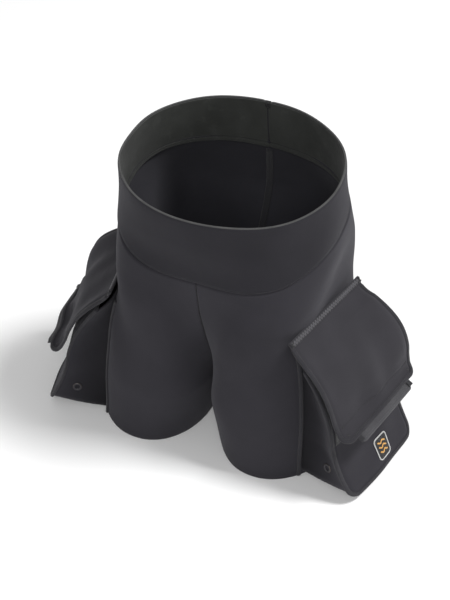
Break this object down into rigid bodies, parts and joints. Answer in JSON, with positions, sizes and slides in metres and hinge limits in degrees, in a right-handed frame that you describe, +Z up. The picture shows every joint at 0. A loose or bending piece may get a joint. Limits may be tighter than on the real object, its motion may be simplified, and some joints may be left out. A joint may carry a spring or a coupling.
{
  "type": "neoprene diving shorts with thigh pockets",
  "caption": "Short-legged neoprene diving shorts with a high waistband and a flapped bellows cargo pocket on each thigh.",
  "frame": {"origin": "on the floor, in the middle of the whole object from side to side and from front to back", "axes": "+Z up as worn, front of the shorts faces -Y, +X is the wearer's left"},
  "size_m": [0.55, 0.2834, 0.4372],
  "materials": {
    "outer_knit": "fine matte knit face bonded to neoprene foam, charcoal",
    "flap_knit": "fine matte knit face bonded to neoprene foam, slightly lighter charcoal",
    "smooth_skin": "smooth-skin neoprene, grey, soft sheen",
    "seam_tape": "thin woven tape over the seams",
    "edge_binding": "folded knit binding, overlocked edge",
    "webbing": "flat woven polyamide webbing, grey",
    "hook_tape": "hook side of a touch fastener",
    "loop_tape": "loop side of a touch fastener, brushed",
    "woven_badge": "woven badge with a pale border and plain amber wave bars",
    "eyelet_brass": "blackened brass eyelet",
    "shock_cord": "braided elastic cord"
  },
  "bodies": {
    "shorts": {"waistband_outer": "outer_knit", "waistband_lining": "smooth_skin", "rise_seam_tape": "seam_tape", "left_leg_panel": "outer_knit", "left_inseam_tape": "seam_tape", "left_gusset": "outer_knit", "left_drain_eyelet": "eyelet_brass", "left_front_base_strip": "edge_binding", "left_back_base_strip": "edge_binding", "left_flap_seam_strip": "edge_binding", "left_loop_anchor": "webbing", "right_leg_panel": "outer_knit", "right_inseam_tape": "seam_tape", "right_gusset": "outer_knit", "right_drain_eyelet": "eyelet_brass", "right_front_base_strip": "edge_binding", "right_back_base_strip": "edge_binding", "right_flap_seam_strip": "edge_binding", "right_loop_anchor": "webbing"},
    "left_pocket_front": {"left_pocket_panel": "outer_knit", "left_panel_binding": "edge_binding", "left_mouth_binding": "edge_binding", "left_loop_tape": "loop_tape", "left_badge": "woven_badge"},
    "left_flap_assembly": {"left_flap": "flap_knit", "left_flap_binding": "edge_binding", "left_hook_tape": "hook_tape", "left_pull_strip": "webbing"},
    "left_elastic_loop": {"left_cord_loop": "shock_cord"},
    "right_pocket_front": {"right_pocket_panel": "outer_knit", "right_panel_binding": "edge_binding", "right_mouth_binding": "edge_binding", "right_loop_tape": "loop_tape"},
    "right_flap_assembly": {"right_flap": "flap_knit", "right_flap_binding": "edge_binding", "right_hook_tape": "hook_tape", "right_pull_strip": "webbing"},
    "right_elastic_loop": {"right_cord_loop": "shock_cord"}
  },
  "joints": [
    {"name": "left_flap_hinge", "type": "hinge", "parent": "shorts", "child": "left_flap_assembly", "pos_m": [0.15315, -0.02707, 0.232], "axis": [-0.2079, -0.9781, 0], "range_deg": [0, 110]},
    {"name": "left_bellows_fold", "type": "hinge", "parent": "shorts", "child": "left_pocket_front", "pos_m": [0.17711, -0.03217, 0.194], "axis": [0.2079, 0.9781, 0], "range_deg": [0, 16], "stiffness_Nm_per_rad": 0.4, "deforming": ["left_gusset", "left_drain_eyelet"]},
    {"name": "left_loop_swing", "type": "hinge", "parent": "shorts", "child": "left_elastic_loop", "pos_m": [0.16876, -0.03039, 0.1502], "axis": [-0.2079, -0.9781, 0], "range_deg": [0, 22], "stiffness_Nm_per_rad": 0.01},
    {"name": "right_flap_hinge", "type": "hinge", "parent": "shorts", "child": "right_flap_assembly", "pos_m": [-0.15315, -0.02707, 0.232], "axis": [-0.2079, 0.9781, 0], "range_deg": [0, 110]},
    {"name": "right_bellows_fold", "type": "hinge", "parent": "shorts", "child": "right_pocket_front", "pos_m": [-0.17711, -0.03217, 0.194], "axis": [0.2079, -0.9781, 0], "range_deg": [0, 16], "stiffness_Nm_per_rad": 0.4, "deforming": ["right_gusset", "right_drain_eyelet"]},
    {"name": "right_loop_swing", "type": "hinge", "parent": "shorts", "child": "right_elastic_loop", "pos_m": [-0.16876, -0.03039, 0.1502], "axis": [-0.2079, 0.9781, 0], "range_deg": [0, 22], "stiffness_Nm_per_rad": 0.01}
  ]
}
